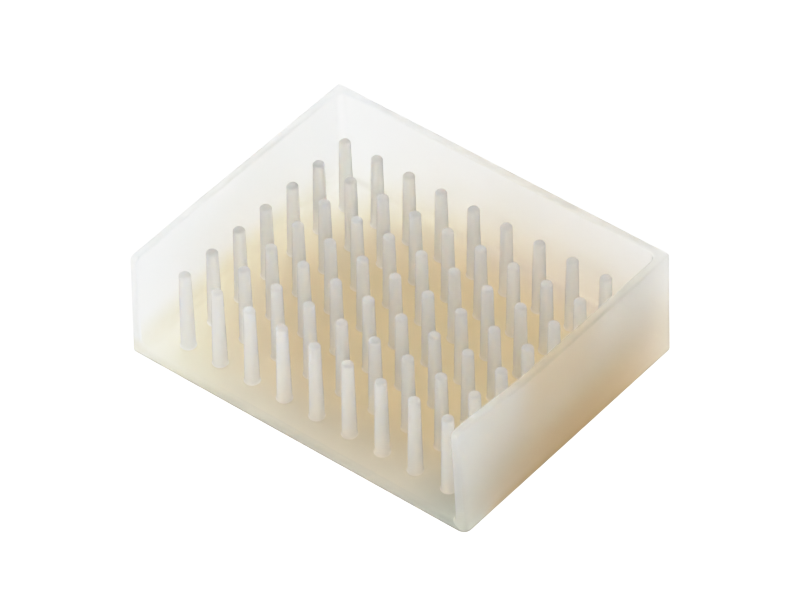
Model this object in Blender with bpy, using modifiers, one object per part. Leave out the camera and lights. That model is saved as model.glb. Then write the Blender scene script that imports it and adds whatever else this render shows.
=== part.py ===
"""Silicone soap dish: a one-piece moulded tray, open along the front, whose sloping floor carries a
grid of drafted pins with level tips.

The moulding is made once as a whole tray, and is then parted along upright seam planes into its side
walls, its back wall and one floor strip for each front-to-back line of pins.
Metres, +Z up. The origin is on the table under the middle of the tray, and the open edge faces -Y.
"""

import math

import bmesh
import bpy

# Tray
TRAY_LENGTH = 0.115  # along the open edge
TRAY_WIDTH = 0.090  # from the open edge to the back
TRAY_HEIGHT = 0.035
WALL_AT_RIM = 0.0027
WALL_AT_FOOT = 0.0034
OUTER_LEAN = 0.0005  # the side and back faces lean in by this much at the rim
FLOOR_AT_FRONT = 0.0026
FLOOR_AT_BACK = 0.0046  # the floor falls from here to the open edge, so that water runs off
FRONT_CORNER_RADIUS = 0.0022
BACK_CORNER_RADIUS = 0.0012
COVE_RADIUS = 0.0030  # between floor and walls, and in the inner corners
RIM_ROUND = 0.0006
BASE_ROUND = 0.0004
LIP_ROUND = 0.0012  # the floor's front edge, where the water leaves

# Pins
PIN_COLUMNS = 9  # side by side along the open edge
PIN_ROWS = 7  # from front to back
PIN_SIDE_MARGIN = 0.0095  # outermost pin's axis to the side wall's inner face at the rim
PIN_FRONT_MARGIN = 0.0090  # first row's axes to the open edge
PIN_BACK_MARGIN = 0.0100  # last row's axes to the back wall's inner face at the rim
PIN_TOP = 0.0287  # every tip is at this height, whatever the floor does below
PIN_ROOT_DIAMETER = 0.0040
PIN_TIP_DIAMETER = 0.0034
PIN_TIP_ROUND = 0.0009
PIN_ROOT_FILLET = 0.0016

# Seams
SEAM_SETBACK = 0.0005  # a seam stands this far clear of the cove's foot

# Modelling
OVERRUN = 0.0100  # how far a cutter reaches past what it cuts
PIN_SIDES = 12
CORNER_FACETS = 4
COVE_FACETS = 4
EDGE_FACETS = 2
LIP_FACETS = 3
LIP_ANGLE = 75  # degrees that the lip turns through before it meets the front face
TIP_FACETS = 2
FILLET_ANGLES = (0, 20, 60, 75)  # degrees round the root fillet, from the pin down into the floor
FILLET_RISE_SHARE = 0.6  # the fillet's centre stands this share of its radius above the floor
ROOTED_SHARE = 0.5  # a pin reaches down into this share of the floor's thickness
SAME_PLACE = 0.00002

# Colours, roughness
WALL_COLOUR = (0.86, 0.87, 0.83, 1)
FLOOR_COLOUR = (0.80, 0.76, 0.66, 1)
ROUGHNESS = 0.45


def inner_face(outer_half, z):
    """How far from the middle the inner face of a wall is at height z, where its outer face stands at
    outer_half on the table."""
    at_table = outer_half - WALL_AT_FOOT
    at_rim = outer_half - OUTER_LEAN - WALL_AT_RIM
    return at_table + (at_rim - at_table) * z / TRAY_HEIGHT


def floor_height(y):
    """The height of the sloping floor at y."""
    front = -TRAY_WIDTH / 2
    back = TRAY_WIDTH / 2 - WALL_AT_FOOT
    return FLOOR_AT_FRONT + (FLOOR_AT_BACK - FLOOR_AT_FRONT) * (y - front) / (back - front)


def spaced(first, last, count):
    """count places, evenly spaced from first to last."""
    if count == 1:
        return [(first + last) / 2]
    return [first + (last - first) * i / (count - 1) for i in range(count)]


def pin_columns():
    """The x of each front-to-back line of pins."""
    outermost = inner_face(TRAY_LENGTH / 2, TRAY_HEIGHT) - PIN_SIDE_MARGIN
    return spaced(-outermost, outermost, PIN_COLUMNS)


def pin_rows():
    """The y of each row of pins, from the open edge back."""
    first = -TRAY_WIDTH / 2 + PIN_FRONT_MARGIN
    last = inner_face(TRAY_WIDTH / 2, TRAY_HEIGHT) - PIN_BACK_MARGIN
    return spaced(first, last, PIN_ROWS)


def new_collection(name):
    collection = bpy.data.collections.new(name)
    bpy.context.scene.collection.children.link(collection)
    return collection


def object_of(name, bm, collection):
    """A bmesh as an object, with its normals facing out."""
    bmesh.ops.recalc_face_normals(bm, faces=bm.faces)
    mesh = bpy.data.meshes.new(name)
    bm.to_mesh(mesh)
    bm.free()
    obj = bpy.data.objects.new(name, mesh)
    collection.objects.link(obj)
    return obj


def as_tool(obj):
    """Marks a cutter or another helper, which isn't a piece of the dish."""
    obj.hide_render = True
    obj.display_type = "WIRE"
    return obj


def boolean(obj, operation, tool):
    modifier = obj.modifiers.new(f"{operation.lower()} {tool.name}", "BOOLEAN")
    modifier.operation = operation
    modifier.solver = "EXACT"
    modifier.object = tool


def evaluated_mesh(obj, name):
    """The object's mesh with its modifiers applied."""
    graph = bpy.context.evaluated_depsgraph_get()
    mesh = bpy.data.meshes.new_from_object(obj.evaluated_get(graph))
    mesh.name = name
    return mesh


def cube_shaped(place):
    """A cube whose corners are put where place(x side, y side, z side) says, each side being -1 or 1."""
    bm = bmesh.new()
    bmesh.ops.create_cube(bm, size=2)
    for vertex in bm.verts:
        vertex.co = place(*(round(side) for side in vertex.co))
    return bm


def edges_where(bm, wanted):
    """The edges whose two ends both satisfy wanted."""
    return [edge for edge in bm.edges if all(wanted(vertex.co) for vertex in edge.verts)]


def round_edges(bm, edges, radius, facets):
    bmesh.ops.bevel(bm, geom=edges, offset=radius, segments=facets, profile=0.5, affect="EDGES")


def outer_block(collection):
    """The tray's outside, solid: three faces lean in towards the rim, and its upright corners are round."""

    def corner(x_side, y_side, z_side):
        lean = OUTER_LEAN if z_side > 0 else 0
        y_lean = lean if y_side > 0 else 0
        return (
            x_side * (TRAY_LENGTH / 2 - lean),
            y_side * TRAY_WIDTH / 2 - y_lean,
            TRAY_HEIGHT if z_side > 0 else 0,
        )

    bm = cube_shaped(corner)
    upright = [edge for edge in bm.edges if abs(edge.verts[0].co.z - edge.verts[1].co.z) > TRAY_HEIGHT / 2]
    front = [edge for edge in upright if edge.verts[0].co.y < 0]
    back = [edge for edge in upright if edge.verts[0].co.y > 0]
    round_edges(bm, front, FRONT_CORNER_RADIUS, CORNER_FACETS)
    round_edges(bm, back, BACK_CORNER_RADIUS, CORNER_FACETS)
    rim = edges_where(bm, lambda co: co.z > TRAY_HEIGHT - SAME_PLACE)
    round_edges(bm, rim, RIM_ROUND, EDGE_FACETS)
    base = edges_where(bm, lambda co: co.z < SAME_PLACE)
    round_edges(bm, base, BASE_ROUND, EDGE_FACETS)
    return object_of("tray", bm, collection)


def hollow_outline():
    """The hollow seen from the side, as (y, z): down the back wall, along the sloping floor, over the
    rounded lip and out of the open front."""
    top = TRAY_HEIGHT + OVERRUN
    foot = inner_face(TRAY_WIDTH / 2, FLOOR_AT_BACK)
    out = -TRAY_WIDTH / 2 - OVERRUN
    last = math.radians(LIP_ANGLE)
    lip_y = -TRAY_WIDTH / 2 + LIP_ROUND * math.sin(last)
    lip_z = floor_height(lip_y) - LIP_ROUND
    points = [(inner_face(TRAY_WIDTH / 2, top), top), (foot, floor_height(foot))]
    for i in range(LIP_FACETS + 1):
        turn = math.radians(90 * i / LIP_FACETS)
        points.append((lip_y - LIP_ROUND * math.sin(turn), lip_z + LIP_ROUND * math.cos(turn)))
    return points + [(out, lip_z), (out, top)]


def cavity_cutter(collection):
    """The hollow of the tray: its side view, drawn out to the leaning side walls and coved along the
    foot of the walls and up the inner corners."""
    bm = bmesh.new()
    face = bm.faces.new([bm.verts.new((-1, y, z)) for y, z in hollow_outline()])
    drawn = bmesh.ops.extrude_face_region(bm, geom=[face])["geom"]
    for item in drawn:
        if isinstance(item, bmesh.types.BMVert):
            item.co.x = 1
    for vertex in bm.verts:
        vertex.co.x *= inner_face(TRAY_LENGTH / 2, vertex.co.z)

    def coved(edge):
        first, second = (vertex.co for vertex in edge.verts)
        low = max(first.z, second.z) < TRAY_HEIGHT
        at_back = min(first.y, second.y) > 0
        across = first.x * second.x < 0
        if across:
            return low and at_back
        upright = min(first.z, second.z) < TRAY_HEIGHT < max(first.z, second.z)
        return low or (upright and at_back)

    round_edges(bm, [edge for edge in bm.edges if coved(edge)], COVE_RADIUS, COVE_FACETS)
    return as_tool(object_of("cavity_cutter", bm, collection))


def whole_tray(tools):
    """The tray without its pins, as one mesh that every piece is parted from."""
    block = outer_block(tools)
    boolean(block, "DIFFERENCE", cavity_cutter(tools))
    mesh = evaluated_mesh(block, "whole_tray")
    bpy.data.objects.remove(block)
    return mesh


def pin_profile(floor_z):
    """Half a pin's outline as (radius, height), from its tip down its outer side and into the floor."""
    tip, root = PIN_TIP_DIAMETER / 2, PIN_ROOT_DIAMETER / 2
    fillet_z = floor_z + PIN_ROOT_FILLET * FILLET_RISE_SHARE
    points = [(0, PIN_TOP)]
    for i in range(TIP_FACETS + 1):
        turn = math.radians(90 * (1 - i / TIP_FACETS))
        flat = tip - PIN_TIP_ROUND
        points.append((flat + PIN_TIP_ROUND * math.cos(turn), PIN_TOP - PIN_TIP_ROUND * (1 - math.sin(turn))))
    for degrees in FILLET_ANGLES:
        turn = math.radians(degrees)
        flare = PIN_ROOT_FILLET * (1 - math.cos(turn))
        points.append((root + flare, fillet_z - PIN_ROOT_FILLET * math.sin(turn)))
    rooted = floor_z * (1 - ROOTED_SHARE)
    points[-1] = (points[-1][0], rooted)
    return points + [(0, rooted)]


def turned_pin(y, collection):
    """One pin, turned round its own axis at y."""
    outline = pin_profile(floor_height(y))
    mesh = bpy.data.meshes.new("pin")
    mesh.from_pydata([(r, 0, z) for r, z in outline], [(i, i + 1) for i in range(len(outline) - 1)], [])
    pin = bpy.data.objects.new("pin", mesh)
    pin.location.y = y
    collection.objects.link(pin)
    turn = pin.modifiers.new("turn", "SCREW")
    turn.steps = PIN_SIDES
    turn.render_steps = PIN_SIDES
    turn.use_merge_vertices = True
    turn.merge_threshold = SAME_PLACE
    return pin


def column_of_pins(collection):
    """One front-to-back line of pins, as a mesh round x = 0."""
    bm = bmesh.new()
    for y in pin_rows():
        pin = turned_pin(y, collection)
        bpy.context.view_layer.update()
        mesh = evaluated_mesh(pin, "turned_pin")
        mesh.transform(pin.matrix_world)
        bm.from_mesh(mesh)
        bpy.data.meshes.remove(mesh)
        bpy.data.objects.remove(pin)
    bmesh.ops.recalc_face_normals(bm, faces=bm.faces)
    mesh = bpy.data.meshes.new("pin_column")
    bm.to_mesh(mesh)
    bm.free()
    return mesh


def parting_box(name, x_low, x_high, y_low, y_high, collection):
    """The space that one piece of the moulding takes, from below the table to above the rim."""

    def corner(x_side, y_side, z_side):
        return (
            x_high if x_side > 0 else x_low,
            y_high if y_side > 0 else y_low,
            TRAY_HEIGHT + OVERRUN if z_side > 0 else -OVERRUN,
        )

    return as_tool(object_of(f"{name}_space", cube_shaped(corner), collection))


def silicone(name, colour):
    material = bpy.data.materials.new(name)
    material.use_nodes = True
    shader = material.node_tree.nodes["Principled BSDF"]
    shader.inputs["Base Color"].default_value = colour
    shader.inputs["Roughness"].default_value = ROUGHNESS
    shader.inputs["Metallic"].default_value = 0
    material.diffuse_color = colour
    return material


def parted_piece(name, tray, space, material, dish, origin):
    """The part of the tray that lies inside one space."""
    piece = bpy.data.objects.new(name, tray.copy())
    piece.data.name = name
    piece.data.materials.clear()
    piece.data.materials.append(material)
    piece.parent = origin
    dish.objects.link(piece)
    boolean(piece, "INTERSECT", space)
    return piece


def main():
    for obj in list(bpy.data.objects):
        bpy.data.objects.remove(obj)
    dish = new_collection("soap_dish")
    tools = new_collection("cutters")
    origin = bpy.data.objects.new("soap_dish_origin", None)
    dish.objects.link(origin)

    tray = whole_tray(tools)
    wall_silicone = silicone("wall_silicone", WALL_COLOUR)
    floor_silicone = silicone("floor_silicone", FLOOR_COLOUR)

    side_seam = TRAY_LENGTH / 2 - WALL_AT_FOOT - COVE_RADIUS - SEAM_SETBACK
    back_seam = TRAY_WIDTH / 2 - WALL_AT_FOOT - COVE_RADIUS - SEAM_SETBACK
    far_x = TRAY_LENGTH / 2 + OVERRUN
    far_y = TRAY_WIDTH / 2 + OVERRUN
    walls = {
        "left_wall": (-far_x, -side_seam, -far_y, back_seam),
        "right_wall": (side_seam, far_x, -far_y, back_seam),
        "back_wall": (-far_x, far_x, back_seam, far_y),
    }
    for name, limits in walls.items():
        space = parting_box(name, *limits, tools)
        parted_piece(name, tray, space, wall_silicone, dish, origin)

    columns = pin_columns()
    pins = column_of_pins(tools)
    seams = [(a + b) / 2 for a, b in zip(columns, columns[1:])]
    edges = [-side_seam] + seams + [side_seam]
    for i, x in enumerate(columns):
        name = f"pin_strip_{i + 1}"
        space = parting_box(name, edges[i], edges[i + 1], -far_y, back_seam, tools)
        strip = parted_piece(name, tray, space, floor_silicone, dish, origin)
        line = bpy.data.objects.new(f"{name}_pins", pins)
        line.location.x = x
        tools.objects.link(as_tool(line))
        boolean(strip, "UNION", line)
    print(f"{len(columns) * PIN_ROWS} pins, {(columns[-1] - columns[0]) * 1000:.1f} mm across the columns")


main()
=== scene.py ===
# %% [markdown]
# # A soap dish moulded in frosted silicone
# The dish is one soft, see-through moulding: a tray with three walls, open along the front, whose floor
# falls towards the open edge and carries a field of upright pins. The imported CAD model gives the
# outline and the places of the pins. This lesson builds the surface and the finish that a camera sees,
# around that fixed frame.

# %% Load the fixed frame
import math

import bmesh
import bpy
from mathutils import Matrix, Vector, noise


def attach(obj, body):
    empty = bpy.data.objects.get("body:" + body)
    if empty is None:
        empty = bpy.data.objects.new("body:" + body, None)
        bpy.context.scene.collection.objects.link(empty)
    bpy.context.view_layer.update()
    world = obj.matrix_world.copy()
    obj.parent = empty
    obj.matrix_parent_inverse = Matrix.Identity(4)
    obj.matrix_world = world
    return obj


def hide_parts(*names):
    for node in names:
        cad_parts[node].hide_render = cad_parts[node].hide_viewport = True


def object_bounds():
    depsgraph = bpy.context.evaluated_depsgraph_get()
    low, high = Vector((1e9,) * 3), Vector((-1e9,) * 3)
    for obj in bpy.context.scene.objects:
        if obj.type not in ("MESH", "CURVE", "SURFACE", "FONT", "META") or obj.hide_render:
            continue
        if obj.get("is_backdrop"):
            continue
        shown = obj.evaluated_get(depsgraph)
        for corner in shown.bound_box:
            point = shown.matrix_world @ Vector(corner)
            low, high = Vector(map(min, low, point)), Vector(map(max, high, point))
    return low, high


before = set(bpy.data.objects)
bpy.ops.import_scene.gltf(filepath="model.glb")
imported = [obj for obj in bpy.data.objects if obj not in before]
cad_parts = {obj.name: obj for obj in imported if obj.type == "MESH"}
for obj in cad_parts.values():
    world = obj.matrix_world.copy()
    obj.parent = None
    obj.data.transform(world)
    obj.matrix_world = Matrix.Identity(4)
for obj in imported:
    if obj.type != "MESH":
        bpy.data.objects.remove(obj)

cad_low, cad_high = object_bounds()
print("CAD nodes:", ", ".join(sorted(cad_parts)))

# %% [markdown]
# ## Sizes
# The outline comes from the CAD box. The frame is in metres, but a wall 2.7 mm thick is easier to
# think about in millimetres, so the shape is worked out in millimetres, and MM turns it into metres at
# the very end. The smaller sizes are those of the moulding: it is thinner at the rim than at the foot
# of its walls, so that it comes out of its mould.

# %% Driving sizes, in millimetres
MM = 0.001
HALF_LENGTH = (cad_high.x - cad_low.x) / 2 / MM
FRONT, BACK = cad_low.y / MM, cad_high.y / MM
HEIGHT = cad_high.z / MM

WALL_AT_RIM = 2.7
WALL_AT_FOOT = 3.4
FLOOR_AT_FRONT = 2.6
FLOOR_AT_BACK = 4.6
COVE_RADIUS = 3.0
RIM_ROUND = 0.6
LIP_ROUND = 1.8

print(f"tray {2 * HALF_LENGTH:.1f} x {BACK - FRONT:.1f} x {HEIGHT:.1f} mm")

# %% [markdown]
# ## Where the pins stand
# The CAD model has one node for each front-to-back line of pins, and the level tips are the highest
# points of such a node. Typing in the places by hand would work, but reading them from the mesh puts
# the detailed pins exactly on the ones that the physics model knows, also after a change to the CAD.

# %% Read the pins' places from the frame
SAME_HEIGHT = 0.01  # points this close to the top of a strip belong to a tip


def points_of_tips(node):
    """The points of each pin tip in one strip, in millimetres, one list per pin from front to back."""
    points = [vertex.co / MM for vertex in node.data.vertices]
    top = max(point.z for point in points)
    tips = []
    for point in sorted((p for p in points if p.z > top - SAME_HEIGHT), key=lambda p: p.y):
        if tips and point.y - tips[-1][0].y < WALL_AT_FOOT:
            tips[-1].append(point)
        else:
            tips.append([point])
    return tips


def middle_of(values):
    """Halfway between the lowest and the highest value."""
    return (min(values) + max(values)) / 2


strips = [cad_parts[name] for name in sorted(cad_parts) if name.startswith("pin_strip")]
tips_found = [points_of_tips(strip) for strip in strips]
COLUMNS = [middle_of([point.x for point in tips[0]]) for tips in tips_found]
ROWS = [middle_of([point.y for point in tip]) for tip in tips_found[0]]
PIN_TOP = max(point.z for point in tips_found[0][0])
COLUMN_PITCH = (COLUMNS[-1] - COLUMNS[0]) / (len(COLUMNS) - 1)
ROW_PITCH = (ROWS[-1] - ROWS[0]) / (len(ROWS) - 1)
print(f"{len(COLUMNS)} x {len(ROWS)} pins, {COLUMN_PITCH:.2f} x {ROW_PITCH:.2f} mm apart")
print(f"tips at {PIN_TOP:.1f} mm")

# %% [markdown]
# ## The net
# The tray is a box without a lid and without a front, so its surface can be laid out as two nets of
# four-sided faces: one for the hollow and one for the outside. Both nets have the same lines, counted
# i from left to right, j from front to back and k from the floor up. Lines crowd together where the
# surface turns, and each pin gets a square cell of CELL_LINES steps a side.
#
# A Boolean cut would be less work, but it leaves long thin faces round every pin. An even net shades
# smoothly, which matters on a material that lets light through.

# %% Steps of the nets, in millimetres in from their edges
CELL_LINES = 8
COVE_LINES = (0, 0.6, 1.2, 1.8, 2.4, 3.0)
EDGE_LINES = (0, 0.25, 0.5, 1.1, 1.9, 2.8)
END_LINES = (0, 0.3, 0.7, 1.2, 1.8, 2.6)
TOP_LINES = (0, 0.55, 1.1, 1.65, 2.2)
WALL_STEPS = 9


def cells(places, pitch):
    """The lines that divide the square cells of a row of pins."""
    first = places[0] - pitch / 2
    return [first + pitch * n / CELL_LINES for n in range(len(places) * CELL_LINES + 1)]


def between(low, high, steps):
    """Lines strictly between low and high."""
    return [low + (high - low) * n / steps for n in range(1, steps)]


CELLS_X = cells(COLUMNS, COLUMN_PITCH)
CELLS_Y = cells(ROWS, ROW_PITCH)
print(f"cells from {CELLS_X[0]:.1f} to {CELLS_X[-1]:.1f} mm in x")
print(f"cells from {CELLS_Y[0]:.1f} to {CELLS_Y[-1]:.1f} mm in y")

# %% Lines of the two nets
INNER_HALF = HALF_LENGTH - WALL_AT_FOOT
INNER_BACK = BACK - WALL_AT_FOOT
INNER_HEIGHT = HEIGHT - FLOOR_AT_FRONT


def net_lines(half, back, height, edge):
    """x, y and z lines of one net, whose edge lines lie these distances inside its corners."""
    xs = [-half + e for e in edge] + CELLS_X + [half - e for e in reversed(edge)]
    ys = [FRONT + e for e in END_LINES] + CELLS_Y + [back - e for e in reversed(edge)]
    top = [height - e for e in reversed(TOP_LINES)]
    zs = list(edge) + between(edge[-1], top[0], WALL_STEPS) + top
    return xs, ys, zs


INNER = net_lines(INNER_HALF, INNER_BACK, INNER_HEIGHT, COVE_LINES)
OUTER = net_lines(HALF_LENGTH, BACK, HEIGHT, EDGE_LINES)
LAST_I, LAST_J, LAST_K = (len(lines) - 1 for lines in INNER)
print(f"nets of {LAST_I} x {LAST_J} x {LAST_K} steps")

# %% [markdown]
# ## From the net to the moulding
# On the net the hollow is a plain box. Its points are then moved: the box gets its coves, the floor
# gets its slope, and the walls get their draft. The coves are made by pulling each point onto a ball
# of the cove's radius that rolls inside the box. A Bevel modifier could round the same corners, but
# its width can't follow the sloping floor.

# %% Heights and thicknesses


def floor_height(y):
    """Height of the sloping floor at y."""
    return FLOOR_AT_FRONT + (FLOOR_AT_BACK - FLOOR_AT_FRONT) * (y - FRONT) / (INNER_BACK - FRONT)


def wall_thickness(z):
    """Thickness of a wall at height z."""
    return WALL_AT_FOOT + (WALL_AT_RIM - WALL_AT_FOOT) * z / HEIGHT


def set_back(distance, amount, zone):
    """How far a point at this distance from an edge moves in, so that the edge moves in by amount."""
    return amount * max(0, 1 - distance / zone)


ends_of_floor = [floor_height(y) for y in (FRONT, INNER_BACK)]
print("floor {:.1f} mm thick at the front, {:.1f} at the back".format(*ends_of_floor))

# %% The hollow and the outside


def hollow_point(i, j, k):
    """A point of the hollow's surface. Its front and its rim are set back by the size of their
    rounding, which the edge strip adds later."""
    flat = Vector((INNER[0][i], INNER[1][j], INNER[2][k]))
    reach = INNER_HALF - COVE_RADIUS
    centre = Vector((
        max(-reach, min(reach, flat.x)),
        min(flat.y, INNER_BACK - COVE_RADIUS),
        max(flat.z, COVE_RADIUS),
    ))
    x, y, z = centre + (flat - centre).normalized() * COVE_RADIUS
    on_wall = min(1, z / COVE_RADIUS)
    z = floor_height(y) + z * (HEIGHT - floor_height(y)) / INNER_HEIGHT
    widening = WALL_AT_FOOT - wall_thickness(z)
    x *= (INNER_HALF + widening) / INNER_HALF
    y += widening * (y - FRONT) / (INNER_BACK - FRONT)
    end_round = LIP_ROUND + (RIM_ROUND - LIP_ROUND) * on_wall
    y += set_back(y - FRONT, end_round, END_LINES[-1])
    z -= set_back(HEIGHT - z, RIM_ROUND, TOP_LINES[-1])
    return Vector((x, y, z))


def outside_point(i, j, k):
    """A point of the outside, still a plain box but for the rim's set-back."""
    x, y, z = OUTER[0][i], OUTER[1][j], OUTER[2][k]
    z -= set_back(HEIGHT - z, RIM_ROUND, TOP_LINES[-1])
    return Vector((x, y, z))


print("corner of the hollow's floor:", [round(c, 2) for c in hollow_point(0, LAST_J, 0)])

# %% [markdown]
# ## The edge strip
# The hollow and the outside end in the same long loop: along the rim, down the free end of one side
# wall, along the floor's lip, and up the other end. A strip of faces closes the gap between them all
# the way round. Across the strip, both of its edges are rounded by quarter circles, and along the rim
# it bulges up while along the front it bulges forward.

# %% The loop


def edge_loop():
    """The net's (i, j, k) along the edge, once round."""
    loop = [(0, j, LAST_K) for j in range(LAST_J, 0, -1)]
    loop += [(0, 0, k) for k in range(LAST_K, 0, -1)]
    loop += [(i, 0, 0) for i in range(LAST_I)]
    loop += [(LAST_I, 0, k) for k in range(LAST_K)]
    loop += [(LAST_I, j, LAST_K) for j in range(LAST_J)]
    loop += [(i, LAST_J, LAST_K) for i in range(LAST_I, 0, -1)]
    return loop


LOOP = edge_loop()
print(f"the edge loop has {len(LOOP)} places")

# %% Across the strip
ARC_STEPS = 3
LIP_STEPS = 5
QUARTER = math.radians(90)


def strip_points(i, j, k):
    """The points across the strip at one place of the loop, from the outside to the hollow."""
    outer, inner = outside_point(i, j, k), hollow_point(i, j, k)
    at_rim, at_front = k == LAST_K, j == 0
    rise = RIM_ROUND if at_rim else 0
    outer_depth = Vector((0, 0, rise))
    inner_depth = Vector((0, FRONT - inner.y if at_front else 0, rise))
    outer_edge, inner_edge = outer + outer_depth, inner + inner_depth
    across = inner_edge - outer_edge
    width = across.length
    across.normalize()
    inner_round = RIM_ROUND if at_rim and at_front else min(inner_depth.length, width / 2)
    points = []
    for n in range(1, ARC_STEPS + 1):
        turn = QUARTER * n / ARC_STEPS
        step = across * RIM_ROUND * (1 - math.cos(turn))
        points.append(outer_edge + step - outer_depth * (1 - math.sin(turn)))
    flat = width - RIM_ROUND - inner_round
    points.append(outer_edge + across * (RIM_ROUND + flat / 2))
    for n in range(LIP_STEPS):
        turn = QUARTER * (1 - n / LIP_STEPS)
        step = across * inner_round * (1 - math.cos(turn))
        points.append(inner_edge - step - inner_depth * (1 - math.sin(turn)))
    return points


print(f"the strip is {len(strip_points(0, 0, LAST_K)) + 1} faces across")

# %% [markdown]
# ## Rounding the corners
# Three kinds of corner are still sharp: the upright corners, the top corners of the two free wall
# ends, and the bottom edge. Each is rounded by the same small trick: inside the square zone next to
# the corner, every square ring round the zone's inner corner is bent into a round one. A Bevel
# modifier would put new faces there, where the net already has lines enough.

# %% A square ring bent round
FRONT_LEFT_RADIUS = 1.2
FRONT_RIGHT_RADIUS = 2.6
BACK_RADIUS = 1.2
END_TOP_RADIUS = 2.2
BASE_RADIUS = 0.5


def bent(a, b):
    """(a, b) measured from a zone's inner corner, with square rings bent into round ones."""
    if a <= 0 or b <= 0:
        return a, b
    share = max(a, b) / math.hypot(a, b)
    return a * share, b * share


print("a zone's outermost corner goes from (1, 1) to", [round(c, 2) for c in bent(1, 1)])

# %% Upright corners, wall ends and bottom edge


def rounded_in_plan(x, y):
    """Rounds the upright corners, and gives the distance in from the outline and its direction."""
    side = math.copysign(1, x)
    if y > 0:
        radius, out, edge = BACK_RADIUS, 1, BACK
    else:
        radius, out, edge = (FRONT_RIGHT_RADIUS if x > 0 else FRONT_LEFT_RADIUS), -1, -FRONT
    a, b = side * x - (HALF_LENGTH - radius), out * y - (edge - radius)
    if a > 0 and b > 0:
        a, b = bent(a, b)
        place = (side * (a + HALF_LENGTH - radius), out * (b + edge - radius))
        long = math.hypot(a, b)
        return place, radius - long, (side * a / long, out * b / long)
    if a + radius > 0 and radius - a < radius - b:
        return (x, y), radius - a, (side, 0)
    return (x, y), radius - b, (0, out)


def rounded(point):
    """A point of the plain tray, moved to where the rounded tray has it."""
    x, y, z = point
    forward, up = bent(FRONT + END_TOP_RADIUS - y, z - (HEIGHT - END_TOP_RADIUS))
    y, z = FRONT + END_TOP_RADIUS - forward, HEIGHT - END_TOP_RADIUS + up
    (x, y), inset, (out_x, out_y) = rounded_in_plan(x, y)
    if inset < BASE_RADIUS and z < BASE_RADIUS:
        a, b = bent(BASE_RADIUS - inset, BASE_RADIUS - z)
        move = (BASE_RADIUS - a) - inset
        x, y, z = x - out_x * move, y - out_y * move, BASE_RADIUS - b
    return Vector((x, y, z))


print("front right corner:", [round(c, 2) for c in rounded((HALF_LENGTH, FRONT, HEIGHT / 2))])

# %% [markdown]
# ## Softness
# The material is soft, so the dish isn't perfectly straight: the free end of the right wall leans in
# a little at the top, the left one hardly, and no wall is quite flat. A soft-body simulation could
# find such a shape, but a small formula is quicker, gives the same result every time, and lets the
# lean be set to what is seen.

# %% Lean and wave
OUTER_LEAN = 0.5  # draft: the side and back walls lean in by this much at the rim
RIGHT_END_LEAN = 1.8  # at the top of the free end
LEFT_END_LEAN = 0.4
LEAN_STARTS = -12.0  # y at which a side wall starts to lean
LEAN_POWER = 1.3
WAVE = 0.12  # how far a wall wanders from straight
WAVE_LENGTH = 45.0
WAVE_SEED = 7


def eased(share):
    """0 to 1, slow at both ends."""
    share = max(0, min(1, share))
    return share * share * (3 - 2 * share)


def softened(point):
    """A point of the tray with its draft and with the slight bends of a soft moulding."""
    x, y, z = point
    up = z / HEIGHT
    at_side = abs(x) / HALF_LENGTH
    lean = LEFT_END_LEAN if x < 0 else RIGHT_END_LEAN
    near_wall = eased((abs(x) - (HALF_LENGTH - 2 * WALL_AT_FOOT)) / WALL_AT_FOOT)
    pull = lean * up ** LEAN_POWER * eased((LEAN_STARTS - y) / (LEAN_STARTS - FRONT)) * near_wall
    x -= math.copysign(OUTER_LEAN * up * at_side + pull, x)
    y -= OUTER_LEAN * up * (y - FRONT) / (BACK - FRONT)
    wander = noise.noise_vector(Vector((x, y, z)) / WAVE_LENGTH) * WAVE * up
    return Vector((x + wander.x, y + wander.y, z))


noise.seed_set(WAVE_SEED)  # without a seed the waves would be others in every run
print("top of the right wall's end:", [round(c, 2) for c in softened((HALF_LENGTH, FRONT, HEIGHT))])

# %% [markdown]
# ## Putting the tray together
# Every point has a key, and the Skin class makes a vertex only the first time that a key is asked
# for. Faces that meet use the same keys, so the surface comes out closed. The other way, making loose
# patches and merging vertices by distance, can weld the wrong ones where the net is fine.

# %% A growing surface


class Skin:
    """A mesh under construction, whose vertices are found again by their keys."""

    def __init__(self):
        self.bm = bmesh.new()
        self.vertices = {}

    def vertex(self, key, place):
        """The vertex with this key, made at this place in millimetres if it is new."""
        if key not in self.vertices:
            self.vertices[key] = self.bm.verts.new(place * MM)
        return self.vertices[key]

    def face(self, corners, slot):
        """A smooth face with the finish of this slot."""
        made = self.bm.faces.new(corners)
        made.smooth = True
        made.material_index = slot


def net_vertex(skin, shell, place):
    """The vertex at (i, j, k) of the hollow or the outside."""
    point = hollow_point(*place) if shell == "hollow" else outside_point(*place)
    return skin.vertex((shell, *place), softened(rounded(point)))


skin = Skin()
HOLLOW, OUTSIDE, LIP, EDGE, PINS = range(5)  # the material slots, one for each finish
print("a skin with", len(skin.vertices), "vertices is ready")

# %% [markdown]
# ## Walls and underside
# The two side walls, the back wall and the underside are plain patches of the nets. The lowest rows
# of the outer walls get the finish of the edge, because the bottom edge turns into them.

# %% The walls and the underside
FOOT_ROWS = 3


def add_patch(skin, shell, rows, columns, place):
    """Faces over rows x columns of the net, where place(row, column) gives (i, j, k)."""
    for row in range(rows):
        for column in range(columns):
            corners = [place(row, column), place(row, column + 1)]
            corners += [place(row + 1, column + 1), place(row + 1, column)]
            slot = HOLLOW if shell == "hollow" else OUTSIDE
            if shell == "outside" and columns == LAST_K and column < FOOT_ROWS:
                slot = EDGE
            skin.face([net_vertex(skin, shell, corner) for corner in corners], slot)


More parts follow.
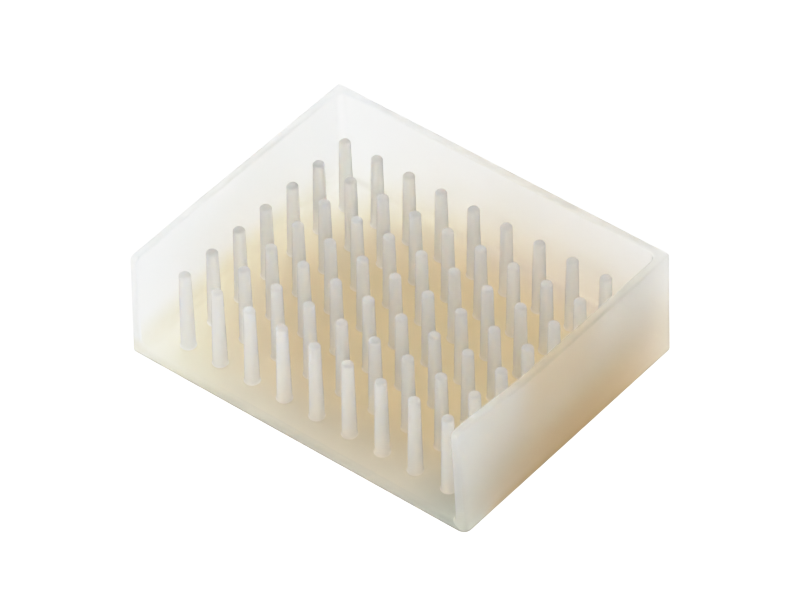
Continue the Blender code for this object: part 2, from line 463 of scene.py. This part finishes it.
for shell in ("hollow", "outside"):
    add_patch(skin, shell, LAST_J, LAST_K, lambda j, k: (0, j, k))
    add_patch(skin, shell, LAST_J, LAST_K, lambda j, k: (LAST_I, j, k))
    add_patch(skin, shell, LAST_I, LAST_K, lambda i, k: (i, LAST_J, k))
add_patch(skin, "outside", LAST_I, LAST_J, lambda i, j: (i, j, 0))
print(f"{len(skin.bm.faces)} faces so far")

# %% [markdown]
# ## Rim, wall ends and lip
# One run round the loop lays the whole edge strip. The lip is the part between the feet of the two side
# walls. It gets a finish of its own, because it carries the floor's painted shade and is darker than the
# ends of the walls beside it.

# %% The edge strip's faces
FEET = 2  # steps of the net that the foot of a side wall takes up


def strip_row(skin, place):
    """The strip's vertices at one place, from the outside to the hollow, both included."""
    row = [net_vertex(skin, "outside", place)]
    for n, point in enumerate(strip_points(*place)):
        row.append(skin.vertex(("strip", *place, n), softened(rounded(point))))
    return row + [net_vertex(skin, "hollow", place)]


def on_lip(place):
    """True on the floor's front edge, between the feet of the two side walls."""
    i, j, k = place
    return (j, k) == (0, 0) and FEET <= i <= LAST_I - FEET


for here, there in zip(LOOP, LOOP[1:] + LOOP[:1]):
    near, far = strip_row(skin, here), strip_row(skin, there)
    slot = LIP if on_lip(here) and on_lip(there) else EDGE
    for n in range(len(near) - 1):
        skin.face([near[n], far[n], far[n + 1], near[n + 1]], slot)
print(f"{len(skin.bm.faces)} faces with the edge strip")

# %% [markdown]
# ## Pins
# A real pin is a slim cone with a small fillet at its root and a soft edge round its flat tip. The
# floor has a hole of one cell for each pin, and the pin grows out of it in rings: out of the square
# onto a circle, up the fillet, up the drafted shaft, and round the edge of the tip. The floor slopes
# but the tips are level, so the first rings follow the floor and the others are level.
#
# Separate cones pushed through the floor would look the same from afar, but light that passes through
# the material would show the buried ends.

# %% The rings of a pin
PIN_ROOT_RADIUS = 2.1
PIN_TIP_RADIUS = 1.65
PIN_FILLET = 0.6
PIN_TIP_ROUND = 0.7
RING_AROUND_ROOT = 4.3
TIP_MIDDLE = 0.4
FILLET_STEPS = 5
SHAFT_STEPS = 5
TIP_STEPS = 4


def pin_rings():
    """(radius, height above the floor or None, height or None) of each ring, from the floor up."""
    rings = [(RING_AROUND_ROOT, 0, None)]
    for n in range(FILLET_STEPS + 1):
        turn = QUARTER * n / FILLET_STEPS
        flare = PIN_FILLET * (1 - math.sin(turn))
        rings.append((PIN_ROOT_RADIUS + flare, PIN_FILLET * (1 - math.cos(turn)), None))
    shaft_foot = FLOOR_AT_BACK + PIN_FILLET
    shoulder = PIN_TOP - PIN_TIP_ROUND
    for n in range(1, SHAFT_STEPS):
        share = n / SHAFT_STEPS
        radius = PIN_ROOT_RADIUS + (PIN_TIP_RADIUS - PIN_ROOT_RADIUS) * share
        rings.append((radius, None, shaft_foot + (shoulder - shaft_foot) * share))
    for n in range(TIP_STEPS + 1):
        turn = QUARTER * n / TIP_STEPS
        radius = PIN_TIP_RADIUS - PIN_TIP_ROUND * (1 - math.cos(turn))
        rings.append((radius, None, shoulder + PIN_TIP_ROUND * math.sin(turn)))
    return rings + [(TIP_MIDDLE, None, PIN_TOP)]


RINGS = pin_rings()
print(f"{len(RINGS)} rings from radius {RINGS[0][0]:.1f} to {RINGS[-1][0]:.1f} mm")

# %% One pin
RINGS_IN_FLOOR = 4  # the lowest rings of faces have the floor's finish
START_TURN = 225.0  # a cell's first corner, seen from its middle


def cell_rim(first_i, first_j):
    """The net's places round a cell, anticlockwise from its first corner."""
    n = CELL_LINES
    places = [(first_i + s, first_j, 0) for s in range(n)]
    places += [(first_i + n, first_j + s, 0) for s in range(n)]
    places += [(first_i + n - s, first_j + n, 0) for s in range(n)]
    return places + [(first_i, first_j + n - s, 0) for s in range(n)]


def add_pin(skin, column, row, first_i, first_j):
    """The pin of one column and row, whose cell starts at line first_i, first_j of the net."""
    below = [net_vertex(skin, "hollow", place) for place in cell_rim(first_i, first_j)]
    sides = len(below)
    for r, (radius, rise, height) in enumerate(RINGS):
        ring = []
        for s in range(sides):
            turn = math.radians(START_TURN + 360 * s / sides)
            x = COLUMNS[column] + radius * math.cos(turn)
            y = ROWS[row] + radius * math.sin(turn)
            z = height if rise is None else floor_height(y) + rise
            ring.append(skin.vertex(("pin", column, row, r, s), Vector((x, y, z))))
        slot = HOLLOW if r < RINGS_IN_FLOOR else PINS
        for s in range(sides):
            after = (s + 1) % sides
            skin.face([below[s], below[after], ring[after], ring[s]], slot)
        below = ring
    skin.face(below, PINS)


print(f"a pin has {4 * CELL_LINES} sides")

# %% All the pins
START_I, START_J = len(COVE_LINES), len(END_LINES)
for column in range(len(COLUMNS)):
    for row in range(len(ROWS)):
        add_pin(skin, column, row, START_I + column * CELL_LINES, START_J + row * CELL_LINES)
print(f"{len(skin.bm.faces)} faces with the pins")

# %% [markdown]
# ## Floor
# What is left of the floor is the net's bottom without the cells of the pins. After that every face
# has a neighbour on each side, and a count of the edges proves that the surface is closed. Light that
# passes through a material needs such a closed surface, to know where the inside is.

# %% The floor round the pins


def in_a_cell(i, j):
    """True if the floor face whose lowest corner is (i, j) belongs to a pin's cell."""
    along = START_I <= i < START_I + len(COLUMNS) * CELL_LINES
    return along and START_J <= j < START_J + len(ROWS) * CELL_LINES


for i in range(LAST_I):
    for j in range(LAST_J):
        if not in_a_cell(i, j):
            corners = [(i, j, 0), (i + 1, j, 0), (i + 1, j + 1, 0), (i, j + 1, 0)]
            skin.face([net_vertex(skin, "hollow", corner) for corner in corners], HOLLOW)
print(f"{len(skin.bm.faces)} faces with the floor")

# %% The dish as an object
bmesh.ops.recalc_face_normals(skin.bm, faces=skin.bm.faces)
open_edges = sum(1 for edge in skin.bm.edges if len(edge.link_faces) != 2)
mesh = bpy.data.meshes.new("silicone_dish")
skin.bm.to_mesh(mesh)
skin.bm.free()
dish = bpy.data.objects.new("silicone_dish", mesh)
bpy.context.scene.collection.objects.link(dish)
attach(dish, "root")
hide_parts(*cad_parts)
print(f"{len(mesh.polygons)} faces, {open_edges} open edges")

# %% [markdown]
# ## Frosted silicone
# Some of the light goes straight through this material, blurred by its matt skin, and the rest wanders
# a few millimetres inside it before it comes out. In the shader these are transmission and subsurface
# scattering, and both are set on the shader itself. A milky volume inside a clear skin would be the
# textbook way. It needs many times the samples, and an exported model can't carry it.
#
# What changes over the surface comes from two node groups, which every part of the dish uses with values
# of its own: washes of painted shade and light, and the grain of the skin. The next cell has the helpers
# for making a group with named sockets and for a soft change from one value to another.

# %% Helpers for node groups
FLOAT, COLOUR, VECTOR = "NodeSocketFloat", "NodeSocketColor", "NodeSocketVector"
FADE_SOCKETS = ("Value", "From Min", "From Max", "To Min", "To Max")


def new_group(name, inputs, outputs):
    """A shader node group with named sockets, and its input and output nodes."""
    group = bpy.data.node_groups.new(name, "ShaderNodeTree")
    for socket, kind in inputs:
        group.interface.new_socket(socket, in_out="INPUT", socket_type=kind)
    for socket, kind in outputs:
        group.interface.new_socket(socket, in_out="OUTPUT", socket_type=kind)
    return group, group.nodes.new("NodeGroupInput"), group.nodes.new("NodeGroupOutput")


def give(tree, socket, value):
    """Sets a socket to a number, colour or vector, or links it to another node's output."""
    if isinstance(value, bpy.types.NodeSocket):
        tree.links.new(value, socket)
    else:
        socket.default_value = value


def faded(tree, value, start, end, at_start, at_end):
    """A smooth change from at_start to at_end while value goes from start to end."""
    fade = tree.nodes.new("ShaderNodeMapRange")
    fade.interpolation_type = "SMOOTHSTEP"
    for name, given in zip(FADE_SOCKETS, (value, start, end, at_start, at_end)):
        give(tree, fade.inputs[name], given)
    return fade.outputs["Result"]


def worked_out(tree, kind, operation, *values):
    """The first output of a Math or Vector Math node that does one operation."""
    node = tree.nodes.new(kind)
    node.operation = operation
    for socket, value in zip(node.inputs, values):
        give(tree, socket, value)
    return node


print("a fade uses the sockets", ", ".join(FADE_SOCKETS))

# %% [markdown]
# ## Washes of painted shade and light
# The real dish is nearly white where it is thin, and warmer and darker where light has come through much
# material: low down, and towards the middle. Here that shade is painted into the colour, as with thin
# paint: a pale colour, and over it some washes of painted shade, and one of painted warm light. Each
# wash has its own colour, and is full inside an ellipse in the floor's plane and gone at the ellipse's
# reach, and it also fades with height. The fade with height runs downwards instead where the height of
# the faded end is the lower one.
#
# One painted texture could do this too, but it would need unwrapping, and it couldn't be retuned by
# changing a number.

# %% The wash group
FULL_WITHIN = 0.35  # share of the ellipse inside which a wash is full
MIX_SHARE, MIX_UNDER, MIX_OVER, MIXED = 0, 6, 7, 2  # a Mix node's sockets for colours
VECTOR_MATH, MATH = "ShaderNodeVectorMath", "ShaderNodeMath"


def wash_group():
    """A painted shade or light laid over another colour inside an ellipse, fading outwards and with
    height.
    """
    sockets = [("Under", COLOUR), ("Wash", COLOUR), ("Middle", VECTOR), ("Reach", VECTOR)]
    sockets += [("Full Height", FLOAT), ("Faded Height", FLOAT), ("Faded Share", FLOAT)]
    group, given, result = new_group("wash", sockets, [("Color", COLOUR)])
    values = given.outputs
    place = group.nodes.new("ShaderNodeTexCoord").outputs["Object"]
    moved = worked_out(group, VECTOR_MATH, "SUBTRACT", place, values["Middle"])
    scaled = worked_out(group, VECTOR_MATH, "DIVIDE", moved.outputs[0], values["Reach"])
    in_plan = worked_out(group, VECTOR_MATH, "MULTIPLY", scaled.outputs[0], (1, 1, 0))
    far = worked_out(group, VECTOR_MATH, "LENGTH", in_plan.outputs[0])
    central = faded(group, far.outputs["Value"], FULL_WITHIN, 1, 1, 0)
    split = group.nodes.new("ShaderNodeSeparateXYZ")
    group.links.new(place, split.inputs[0])
    heights = (values["Full Height"], values["Faded Height"])
    by_height = faded(group, split.outputs["Z"], *heights, 1, values["Faded Share"])
    strength = worked_out(group, MATH, "MULTIPLY", central, by_height)
    mix = group.nodes.new("ShaderNodeMix")
    mix.data_type = "RGBA"
    group.links.new(strength.outputs[0], mix.inputs[MIX_SHARE])
    group.links.new(values["Under"], mix.inputs[MIX_UNDER])
    group.links.new(values["Wash"], mix.inputs[MIX_OVER])
    group.links.new(mix.outputs[MIXED], result.inputs["Color"])
    return group


WASH = wash_group()
print(f"group {WASH.name} with {len(WASH.nodes)} nodes")

# %% [markdown]
# ## The frosted skin
# A matt silicone piece usually gets its surface from a mould that was blasted with fine grit: an even
# grain, with a gloss that isn't quite the same everywhere. The grain could be real geometry, but it
# would need millions of faces. Here it is a noise a fraction of a millimetre across, used as bump. A
# second, much larger noise moves the roughness up and down a little.

# %% The skin group
GRAIN_DEPTH = 0.0001  # metres
CLOUD_SCALE = 60.0  # clouds of uneven gloss, about this many in a metre
CLOUD_LOW, CLOUD_HIGH = 0.3, 0.7
UNEVEN = 0.03  # how far the roughness goes up and down


def skin_group():
    """The fine grain that the mould leaves, as a normal, and a little unevenness in the gloss."""
    sockets = [("Grain Size", FLOAT), ("Grain Strength", FLOAT), ("Roughness", FLOAT)]
    group, given, result = new_group("frosted_skin", sockets, [("Normal", VECTOR), ("Roughness", FLOAT)])
    values = given.outputs
    place = group.nodes.new("ShaderNodeTexCoord").outputs["Object"]
    scale = worked_out(group, MATH, "DIVIDE", 1, values["Grain Size"])
    grain = group.nodes.new("ShaderNodeTexNoise")
    group.links.new(place, grain.inputs["Vector"])
    group.links.new(scale.outputs[0], grain.inputs["Scale"])
    bump = group.nodes.new("ShaderNodeBump")
    bump.inputs["Distance"].default_value = GRAIN_DEPTH
    group.links.new(values["Grain Strength"], bump.inputs["Strength"])
    group.links.new(grain.outputs["Fac"], bump.inputs["Height"])
    group.links.new(bump.outputs[0], result.inputs["Normal"])
    cloud = group.nodes.new("ShaderNodeTexNoise")
    cloud.inputs["Scale"].default_value = CLOUD_SCALE
    group.links.new(place, cloud.inputs["Vector"])
    uneven = faded(group, cloud.outputs["Fac"], CLOUD_LOW, CLOUD_HIGH, -UNEVEN, UNEVEN)
    rough = worked_out(group, MATH, "ADD", uneven, values["Roughness"])
    group.links.new(rough.outputs[0], result.inputs["Roughness"])
    return group


SKIN = skin_group()
print(f"group {SKIN.name} with {len(SKIN.nodes)} nodes")

# %% [markdown]
# ## One recipe for every part
# All parts are the same silicone, so one function makes every finish: it lays the washes of painted
# shade and light over the pale colour, adds the skin, and sets the numbers that are the same all over on
# the shader's own sockets.
# The pins let less light straight through than the walls, because they are thicker.

# %% The recipe
SILICONE_IOR = 1.41
WANDER = 0.006  # metres that light wanders inside
WANDER_COLOURS = (1.0, 0.92, 0.8)


def washed(material, pale, washes):
    """The pale colour with its washes of painted shade and light laid over it, one after the other."""
    under = pale
    for values in washes:
        layer = material.node_tree.nodes.new("ShaderNodeGroup")
        layer.node_tree = WASH
        give(material.node_tree, layer.inputs["Under"], under)
        for socket, value in values.items():
            layer.inputs[socket].default_value = value
        under = layer.outputs["Color"]
    return under


def silicone(name, pale, washes, through, roughness, grain_size, grain_strength):
    """A finish of the dish. through is the share of light that goes straight through."""
    material = bpy.data.materials.new(name)
    material.use_nodes = True
    tree = material.node_tree
    surface = tree.nodes.new("ShaderNodeGroup")
    surface.node_tree = SKIN
    surface.inputs["Grain Size"].default_value = grain_size
    surface.inputs["Grain Strength"].default_value = grain_strength
    surface.inputs["Roughness"].default_value = roughness
    shader = tree.nodes["Principled BSDF"]
    tree.links.new(washed(material, (*pale, 1), washes), shader.inputs["Base Color"])
    tree.links.new(surface.outputs["Roughness"], shader.inputs["Roughness"])
    tree.links.new(surface.outputs["Normal"], shader.inputs["Normal"])
    shader.inputs["IOR"].default_value = SILICONE_IOR
    shader.inputs["Transmission Weight"].default_value = through
    shader.inputs["Subsurface Weight"].default_value = 1
    shader.inputs["Subsurface Radius"].default_value = WANDER_COLOURS
    shader.inputs["Subsurface Scale"].default_value = WANDER
    return material


def tone(colour, middle, reach, full_height, faded_height, faded_share=0.0):
    """The values of one wash. Places, reaches and heights are in metres."""
    return {
        "Wash": (*colour, 1),
        "Middle": (*middle, 0),
        "Reach": (*reach, 1),
        "Full Height": full_height,
        "Faded Height": faded_height,
        "Faded Share": faded_share,
    }


print(f"light wanders about {WANDER / MM:.0f} mm inside")

# %% [markdown]
# ## The hollow
# The floor carries painted shade: a tan shade, a little lighter and warmer right of its middle by
# painted warm light, greyer along the open edge, and greyest in the front right corner. These tones stay
# low: they are gone a little way up the coves. The tan shade is laid first, because a wash covers what
# is under it. The right half of the back wall has a faint warm painted shade. The tan, the grey shade
# and the corner shade have named values, because the lip takes them up.

# %% Finish of the hollow
# The tan is painted warm shade, and the shade and the corner are painted grey shade.
WARM_SHADE_COLOUR, WARM_SHADE_PLACE = (0.84, 0.79, 0.635), ((-0.010, -0.012), (0.105, 0.085))
SHADE_PLACE = ((0.027, -0.047), (0.086, 0.027))
CORNER_SHADE_PLACE = ((0.058, -0.045), (0.028, 0.035))
WARM_SHADE_HEIGHTS = (0.005, 0.016)  # full up to the first, gone above the second
SHADE_HEIGHTS = (0.004, 0.012)

# Painted warm shade low on the floor.
floor_warm_shade = tone(WARM_SHADE_COLOUR, *WARM_SHADE_PLACE, *WARM_SHADE_HEIGHTS)
# Painted warm light, lighter and more yellow than the painted shade round it.
floor_warm_light = tone((0.90, 0.86, 0.68), (0.022, 0.006), (0.062, 0.042), *WARM_SHADE_HEIGHTS)
# Painted grey shade along the open edge, and darker painted shade in the front right corner.
floor_shade = tone((0.70, 0.69, 0.615), *SHADE_PLACE, *SHADE_HEIGHTS)
floor_corner_shade = tone((0.54, 0.56, 0.51), *CORNER_SHADE_PLACE, *SHADE_HEIGHTS)
# Painted warm shade on the right half of the back wall.
back_wall_shade = tone((0.815, 0.79, 0.77), (0.036, 0.050), (0.075, 0.020), 0.005, 0.060, 0.5)
hollow_finish = silicone(
    "silicone_hollow", (0.95, 0.96, 0.95),
    (floor_warm_shade, floor_warm_light, floor_shade, floor_corner_shade, back_wall_shade),
    through=0.8, roughness=0.75, grain_size=0.0004, grain_strength=0.1,
)
print("finish:", hollow_finish.name)

# %% [markdown]
# ## The outside
# From outside the walls are a cool white at their ends, with a painted warm shade at the foot of their
# middle. Upwards the painted shade gets weaker, except in the middle of the right wall, where it reaches
# the rim. Along that wall's foot a narrow strip of painted shade is brown, standing in for light that
# has come through the whole depth of the floor. The foot of the front right corner has a grey green
# painted shade, as the floor beside it has.

# %% Finish of the outside
# Place and heights of the painted warm shade that reaches the rim in the middle of the right wall.
UPPER_SHADE_VALUES = ((0.058, -0.003), (0.030, 0.023), 0.026, 0.008)  # middle, reach and heights

# Painted warm shade at the foot, painted shade up to the rim on the right wall, brown painted shade
# along its foot, grey green painted shade at the front right foot.
wall_warm_shade = tone((0.68, 0.54, 0.32), (0.015, 0.005), (0.100, 0.070), 0, 0.035, 0.30)
wall_upper_shade = tone((0.81, 0.71, 0.55), *UPPER_SHADE_VALUES)
wall_foot_shade = tone((0.56, 0.43, 0.25), (0.058, -0.006), (0.030, 0.042), 0, 0.0045)
corner_foot_shade = tone((0.76, 0.765, 0.705), (0.056, -0.045), (0.013, 0.013), 0.002, 0.011)
outside_finish = silicone(
    "silicone_outside", (0.945, 0.97, 0.985), (wall_warm_shade, wall_upper_shade, wall_foot_shade, corner_foot_shade),
    through=0.8, roughness=0.75, grain_size=0.0005, grain_strength=0.1,
)
print("finish:", outside_finish.name)

# %% [markdown]
# ## The edge and the lip
# The edge strip is seen from above, with much material behind it, so its painted warm shade is deeper
# than the wall's. At its very foot a painted dark line of shade shows where the dish touches the table.
# The lip carries on the floor's painted tan, grey and corner shade, which end just above it. The feet of
# the side walls take up the painted tan shade as well, or else they would stand on the floor as two
# white wedges.

# %% Finishes of the edge and the lip
EDGE_PALE = (0.95, 0.965, 0.965)
LIP_HEIGHTS = (0.0028, 0.0040)

# Painted dark line of shade along the very foot, where the dish meets the table.
foot_shade_line = tone((0.30, 0.25, 0.20), (0, 0), (1, 1), 0, 0.0012)
# Painted warm shade on the rim and the edge strip, and the floor's painted shade carried onto the lip.
rim_upper_shade = tone((0.73, 0.65, 0.49), *UPPER_SHADE_VALUES)
rim_warm_shade = tone((0.62, 0.52, 0.34), (0.015, 0.004), (0.085, 0.062), 0, 0.030, 0.5)
edge_warm_shade = tone(WARM_SHADE_COLOUR, *WARM_SHADE_PLACE, 0.0035, 0.0075)
lip_warm_shade = tone(WARM_SHADE_COLOUR, *WARM_SHADE_PLACE, *LIP_HEIGHTS)
lip_shade = tone((0.64, 0.64, 0.58), *SHADE_PLACE, *LIP_HEIGHTS)
lip_corner_shade = tone((0.52, 0.54, 0.49), *CORNER_SHADE_PLACE, *LIP_HEIGHTS)
edge_finish = silicone(
    "silicone_edge", EDGE_PALE, (edge_warm_shade, rim_warm_shade, rim_upper_shade, corner_foot_shade, foot_shade_line),
    through=0.8, roughness=0.75, grain_size=0.0004, grain_strength=0.1,
)
lip_finish = silicone(
    "silicone_lip", EDGE_PALE, (lip_warm_shade, lip_shade, lip_corner_shade, foot_shade_line),
    through=0.8, roughness=0.75, grain_size=0.0004, grain_strength=0.1,
)
print("finishes:", edge_finish.name, lip_finish.name)

# %% [markdown]
# ## The pins
# The pins are the whitest part: they are thick, and they stand in the light, and their pale colour is
# set a little whiter than the rest as painted light. Towards the front right corner a painted shade
# makes them a little greyer.

# %% Finish of the pins
# Painted shade: the pins greyer towards the front right corner.
pin_shade = tone((0.88, 0.87, 0.84), (0.052, -0.045), (0.085, 0.070), 0, 0.030, 0.8)
pin_finish = silicone(
    # The pins' pale is a little whiter than the rest, as painted light.
    "silicone_pins", (0.99, 0.99, 0.98), (pin_shade,),
    through=0.6, roughness=0.75, grain_size=0.0003, grain_strength=0.1,
)
in_slot_order = {
    HOLLOW: hollow_finish,
    OUTSIDE: outside_finish,
    LIP: lip_finish,
    EDGE: edge_finish,
    PINS: pin_finish,
}
for slot in sorted(in_slot_order):
    dish.data.materials.append(in_slot_order[slot])
print("slots:", ", ".join(material.name for material in dish.data.materials))

# %% [markdown]
# ## The floor of the studio
# The dish stands on white paper. Paper lit well enough to look pure white would need so much light
# that the dish would be burnt out, so the paper glows a little itself. It glows more for the camera
# than for the dish, because the camera should see white while the dish gets no more light than it
# needs from below.

# %% White paper
FLOOR_HALF = 3.0
FLOOR_GAP = 0.0002  # keeps the paper clear of the dish's underside
FLOOR_WHITE = 0.85
FLOOR_ROUGH = 0.8
FLOOR_GLOW = 0.57
CAMERA_GLOW = 1.1
WHITE = (1, 1, 1, 1)

quarters = ((-1, -1), (1, -1), (1, 1), (-1, 1))
floor_mesh = bpy.data.meshes.new("floor")
floor_corners = [(x * FLOOR_HALF, y * FLOOR_HALF, -FLOOR_GAP) for x, y in quarters]
floor_mesh.from_pydata(floor_corners, [], [(0, 1, 2, 3)])
floor = bpy.data.objects.new("floor", floor_mesh)
bpy.context.scene.collection.objects.link(floor)
floor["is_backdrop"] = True

paper = bpy.data.materials.new("white_paper")
paper.use_nodes = True
paper_shader = paper.node_tree.nodes["Principled BSDF"]
paper_shader.inputs["Base Color"].default_value = (FLOOR_WHITE, FLOOR_WHITE, FLOOR_WHITE, 1)
paper_shader.inputs["Roughness"].default_value = FLOOR_ROUGH
paper_shader.inputs["Emission Color"].default_value = WHITE
seen = paper.node_tree.nodes.new("ShaderNodeLightPath").outputs["Is Camera Ray"]
glow = worked_out(paper.node_tree, MATH, "MULTIPLY_ADD", seen, CAMERA_GLOW, FLOOR_GLOW)
paper.node_tree.links.new(glow.outputs[0], paper_shader.inputs["Emission Strength"])
floor_mesh.materials.append(paper)
print(f"floor of {2 * FLOOR_HALF:.0f} m")

# %% [markdown]
# ## The light of the studio
# A see-through white thing on white needs light from all round it, and a soft change from one side to
# the other to give it shape. A world does both at once: it is brightest at the back left, dimmer at
# the front right and dimmer overhead, as in a white tent with a lamp outside it. A few area lamps
# could do the same, but each would show its edges in the silicone. The camera sees plain white behind
# the dish instead of the tent.

# %% The tent
BRIGHT_SIDE = Vector((-0.93, 0.36, 0.12)).normalized()
TENT_BRIGHT, TENT_DIM = 1.54, 1.0
DIM_FROM = -0.1  # cosine of the angle to the bright side
CEILING_STARTS, CEILING_FULL = 0.2, 0.9  # how steeply up a direction points, 1 straight up
CEILING = 0.5
BACKDROP = 2.1

world = bpy.data.worlds.new("studio")
world.use_nodes = True
bpy.context.scene.world = world
tent = world.node_tree
direction = tent.nodes.new("ShaderNodeTexCoord").outputs["Generated"]
towards = worked_out(tent, VECTOR_MATH, "DOT_PRODUCT", direction, BRIGHT_SIDE).outputs["Value"]
around = faded(tent, towards, DIM_FROM, 1, TENT_DIM, TENT_BRIGHT)
steepness = tent.nodes.new("ShaderNodeSeparateXYZ")
tent.links.new(direction, steepness.inputs[0])
overhead = faded(tent, steepness.outputs["Z"], CEILING_STARTS, CEILING_FULL, 1, CEILING)
level = worked_out(tent, MATH, "MULTIPLY", around, overhead)
cloth = tent.nodes["Background"]
cloth.inputs["Color"].default_value = WHITE
tent.links.new(level.outputs[0], cloth.inputs["Strength"])
print(f"tent from {TENT_DIM * CEILING:.2f} to {TENT_BRIGHT:.2f}")

# %% The backdrop and a lamp
LAMP_PLACE = (-0.6, 0.35, 0.3)  # metres, back left of the dish
LAMP_SIZE = 0.5
LAMP_POWER = 1.5

backdrop = tent.nodes.new("ShaderNodeBackground")
backdrop.inputs["Color"].default_value = WHITE
backdrop.inputs["Strength"].default_value = BACKDROP
choice = tent.nodes.new("ShaderNodeMixShader")
tent.links.new(tent.nodes.new("ShaderNodeLightPath").outputs["Is Camera Ray"], choice.inputs["Fac"])
tent.links.new(cloth.outputs[0], choice.inputs[1])
tent.links.new(backdrop.outputs[0], choice.inputs[2])
tent.links.new(choice.outputs[0], tent.nodes["World Output"].inputs["Surface"])

lamp_data = bpy.data.lights.new("softbox", "AREA")
lamp_data.size = LAMP_SIZE
lamp_data.energy = LAMP_POWER
lamp = bpy.data.objects.new("softbox", lamp_data)
lamp.location = LAMP_PLACE
lamp.rotation_euler = (-Vector(LAMP_PLACE)).to_track_quat("-Z", "Y").to_euler()
bpy.context.scene.collection.objects.link(lamp)
print(f"a softbox {Vector(LAMP_PLACE).length:.2f} m from the dish")

# %% [markdown]
# ## The camera
# The camera was fitted to the photograph: its straight edges and the grid of pins give the direction
# it looks from, its distance and its focal length. It stands far off with a long lens, so the edges
# of the tray stay almost parallel. The camera's three axes are built up from the angles, which is
# easier to follow than a rotation in Euler angles.

# %% The camera's three axes
AZIMUTH, ELEVATION, ROLL = (math.radians(degrees) for degrees in (39.53, 43.01, -1.22))

flat_back = Vector((math.sin(AZIMUTH), -math.cos(AZIMUTH), 0))
back = flat_back * math.cos(ELEVATION) + Vector((0, 0, math.sin(ELEVATION)))
level_right = Vector((math.cos(AZIMUTH), math.sin(AZIMUTH), 0))
level_up = back.cross(level_right)
right = level_right * math.cos(ROLL) + level_up * math.sin(ROLL)
up = level_up * math.cos(ROLL) - level_right * math.sin(ROLL)
print("the camera stands towards", [round(c, 3) for c in back])

# %% The camera in its place
DISTANCE = 1.5686
SIDE_SHIFT, UP_SHIFT = -0.000426, 0.01341
LENS, SENSOR = 261.18, 36.0

camera_data = bpy.data.cameras.new("camera")
camera_data.lens = LENS
camera_data.sensor_width = SENSOR
camera = bpy.data.objects.new("camera", camera_data)
turned = Matrix((right, up, back)).transposed().to_4x4()
stand = back * DISTANCE + right * SIDE_SHIFT + up * UP_SHIFT
camera.matrix_world = Matrix.Translation(stand) @ turned
bpy.context.scene.collection.objects.link(camera)
bpy.context.scene.camera = camera
print(f"camera {stand.length:.2f} m away, {math.degrees(camera_data.angle):.1f} degrees wide")

# %% [markdown]
# ## The film
# Frosted silicone held against white paper is nearly as bright as the paper. A screen cuts off every
# light above white, and the walls would melt into the paper there. Photographic film doesn't cut: its
# curve bends over softly near white, so the last steps of brightness stay apart. A curve in the
# scene's colour management does the same. It is a straight line up to a light of a half, and stays
# close to one up to 0.85, so the other tones stay nearly as they are.

# %% The film's curve
FILM_POINTS = ((0.5, 0.5), (0.85, 0.85), (1.0, 0.925), (1.3, 0.975))  # light seen, light shown
FILM_WHITE = 1.7  # the light that is shown as pure white
ALL_COLOURS = 3  # the last of the four curves holds for red, green and blue together
LAST_POINT = 1  # a new curve has two points, at its ends

view = bpy.context.scene.view_settings
view.view_transform = "Standard"
view.use_curve_mapping = True
film = view.curve_mapping
film.clip_max_x = FILM_WHITE
film_curve = film.curves[ALL_COLOURS]
film_curve.points[LAST_POINT].location = (FILM_WHITE, 1)
for seen_light, shown_light in FILM_POINTS:
    film_curve.points.new(seen_light, shown_light)
film.update()
shown = [f"{light} as {film.evaluate(film_curve, light):.2f}" for light in (0.2, 0.5, 0.9, 1.2, 1.7)]
print("light of", ", ".join(shown))

# %% [markdown]
# ## Sizes of the two models
# The visible model must stay within the CAD model's box, or the two would no longer be the same object.
# The last cell prints the sizes of both.

# %% Print the sizes and finish
shown_low, shown_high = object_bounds()
sizes = {"cad": [list(cad_low), list(cad_high)], "visual": [list(shown_low), list(shown_high)]}
for name, (low, high) in sizes.items():
    print(name, [round((b - a) / MM, 2) for a, b in zip(low, high)], "mm")
